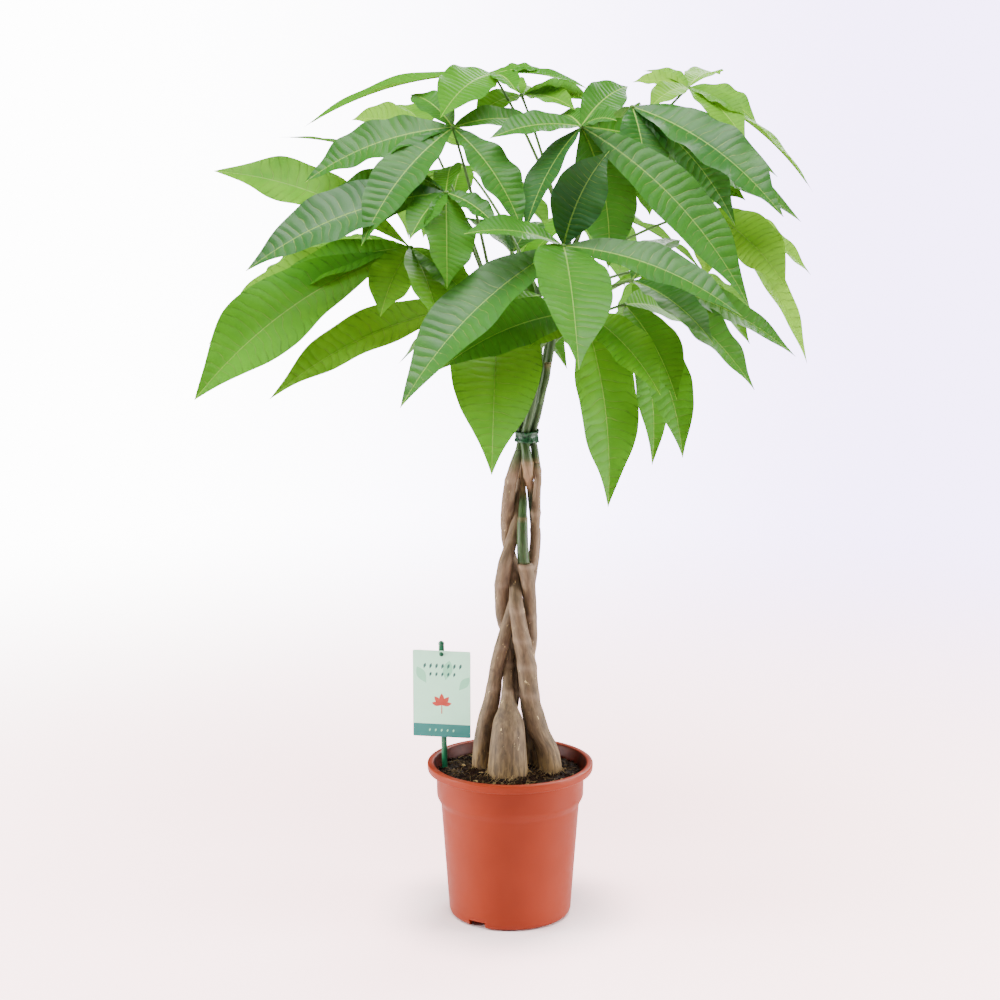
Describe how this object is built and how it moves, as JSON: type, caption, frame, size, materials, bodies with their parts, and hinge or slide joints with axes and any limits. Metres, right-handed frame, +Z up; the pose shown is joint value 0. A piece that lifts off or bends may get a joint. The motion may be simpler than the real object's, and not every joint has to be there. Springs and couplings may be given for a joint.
{
  "type": "potted money tree",
  "caption": "Potted money tree with braided swollen trunks, palmate leaves on long stalks, a tie, a plant label on a stake and a lipped plastic nursery pot.",
  "frame": {"origin": "centre of the flat middle disc of the pot's underside, which lies on the surface that the pot stands on", "axes": "+Z up; -Y towards the front, the side with the label to the left and the largest leaflets; +X to the right"},
  "size_m": [0.6143, 0.5934, 0.8604],
  "materials": {
    "pot_plastic": "terracotta injection-moulded polypropylene, satin, with a soft sheen on the rim",
    "soil": "dark damp peat with fibres and a few pale bits",
    "bark": "tan bark with fine upright fibres, darker in the folds of the braid",
    "leaf": "smooth green leaf with a pale midrib, quilted between its veins, half see-through in the light; the shoots and stalks are a duller green",
    "tie_plastic": "dark green plastic tape",
    "stake_plastic": "dark green moulded plastic",
    "card": "pale mint plastic card with a teal band and a plain leaf motif"
  },
  "bodies": {
    "root": {"pot": "pot_plastic", "soil": "soil", "trunk_left": "bark", "trunk_front": "bark", "trunk_right": "bark", "trunk_back_right": "bark", "trunk_back": "bark", "leafy_shoot_left": "leaf", "leafy_shoot_front": "leaf", "leafy_shoot_right": "leaf", "leafy_shoot_back_right": "leaf", "leafy_shoot_back": "leaf", "tie": "tie_plastic", "label_stake": "stake_plastic", "label_card": "card"}
  },
  "joints": []
}
